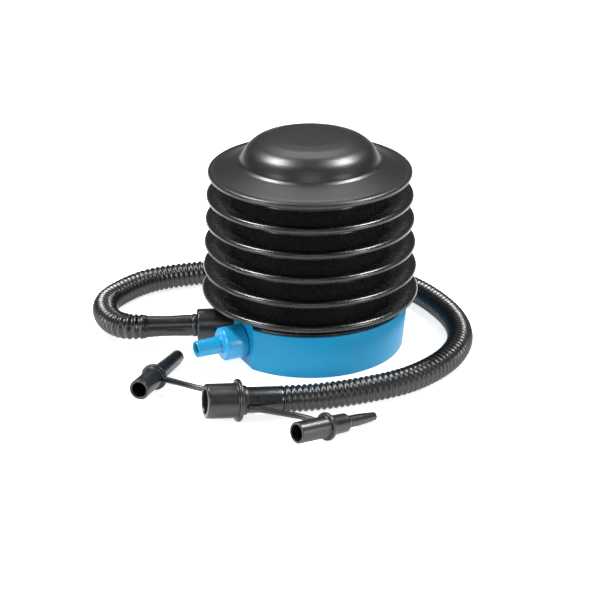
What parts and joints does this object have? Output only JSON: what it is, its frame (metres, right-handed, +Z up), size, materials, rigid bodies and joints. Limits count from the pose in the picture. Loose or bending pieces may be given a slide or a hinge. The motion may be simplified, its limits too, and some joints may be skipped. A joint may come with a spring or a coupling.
{
  "type": "foot-operated bellows air pump",
  "caption": "Round black bellows foot pump on a blue base, with inflate and deflate ports, a corrugated hose and tethered nozzles.",
  "frame": {"origin": "middle of the base's underside, on the bellows axis", "axes": "+Z up along the bellows, -Y towards the viewer's side with the hose end, -X the side of the two ports"},
  "size_m": [0.3745, 0.3984, 0.2084],
  "materials": {
    "base_blue": "fine satin moulded surface",
    "port_blue": "smooth gloss moulded surface",
    "bellows_black": "satin blow-moulded surface",
    "port_black": "satin moulded surface",
    "hose_black": "glossy flexible corrugated surface",
    "cover_black": "plain moulded surface",
    "seal_rubber": "soft rubber",
    "steel": "bright zinc plate"
  },
  "bodies": {
    "base": {"base_housing": "base_blue", "base_cover": "cover_black", "cover_screws": "steel", "clamp_screws": "steel", "bellows_clamp_ring": "bellows_black", "bellows_foot": "bellows_black", "web_foot_ring5": "bellows_black", "inlet_port": "port_blue", "outlet_port": "port_black", "inlet_gasket": "seal_rubber", "outlet_gasket": "seal_rubber", "hose_pump_cuff": "hose_black", "hose": "hose_black", "hose_end_cuff": "hose_black", "hose_adapter": "port_black", "tether_ring": "port_black", "strap_left": "port_black", "strap_right": "port_black", "nozzle_left": "port_black", "nozzle_right": "port_black", "return_spring": "steel"},
    "ring5": {"bellows_ring5": "bellows_black", "web_ring5_ring4": "bellows_black"},
    "ring4": {"bellows_ring4": "bellows_black", "web_ring4_ring3": "bellows_black"},
    "ring3": {"bellows_ring3": "bellows_black", "web_ring3_ring2": "bellows_black"},
    "ring2": {"bellows_ring2": "bellows_black", "web_ring2_crown": "bellows_black"},
    "crown": {"crown": "bellows_black", "spring_cup": "cover_black"},
    "inlet_valve": {"inlet_valve": "seal_rubber"},
    "outlet_valve": {"outlet_valve": "seal_rubber"}
  },
  "joints": [
    {"name": "crown_press", "type": "slide", "parent": "base", "child": "crown", "axis": [0, 0, 1], "range_m": [-0.075, 0], "stiffness_N_per_m": 700, "springref_m": 0.03, "deforming": ["return_spring", "web_ring2_crown"]},
    {"name": "ring5_fold", "type": "slide", "parent": "base", "child": "ring5", "axis": [0, 0, 1], "range_m": [-0.0151, 0], "deforming": ["web_foot_ring5"]},
    {"name": "ring4_fold", "type": "slide", "parent": "base", "child": "ring4", "axis": [0, 0, 1], "range_m": [-0.0301, 0], "deforming": ["web_ring5_ring4"]},
    {"name": "ring3_fold", "type": "slide", "parent": "base", "child": "ring3", "axis": [0, 0, 1], "range_m": [-0.0451, 0], "deforming": ["web_ring4_ring3"]},
    {"name": "ring2_fold", "type": "slide", "parent": "base", "child": "ring2", "axis": [0, 0, 1], "range_m": [-0.0601, 0], "deforming": ["web_ring3_ring2"]},
    {"name": "inlet_valve_lift", "type": "slide", "parent": "base", "child": "inlet_valve", "axis": [0, 0, 1], "range_m": [0, 0.003]},
    {"name": "outlet_valve_drop", "type": "slide", "parent": "base", "child": "outlet_valve", "axis": [0, 0, -1], "range_m": [0, 0.003], "stiffness_N_per_m": 30, "springref_m": -0.002}
  ],
  "couplings": [
    {"joint": "ring5_fold", "follows": "crown_press", "ratio": 0.2},
    {"joint": "ring4_fold", "follows": "crown_press", "ratio": 0.4},
    {"joint": "ring3_fold", "follows": "crown_press", "ratio": 0.6},
    {"joint": "ring2_fold", "follows": "crown_press", "ratio": 0.8}
  ]
}
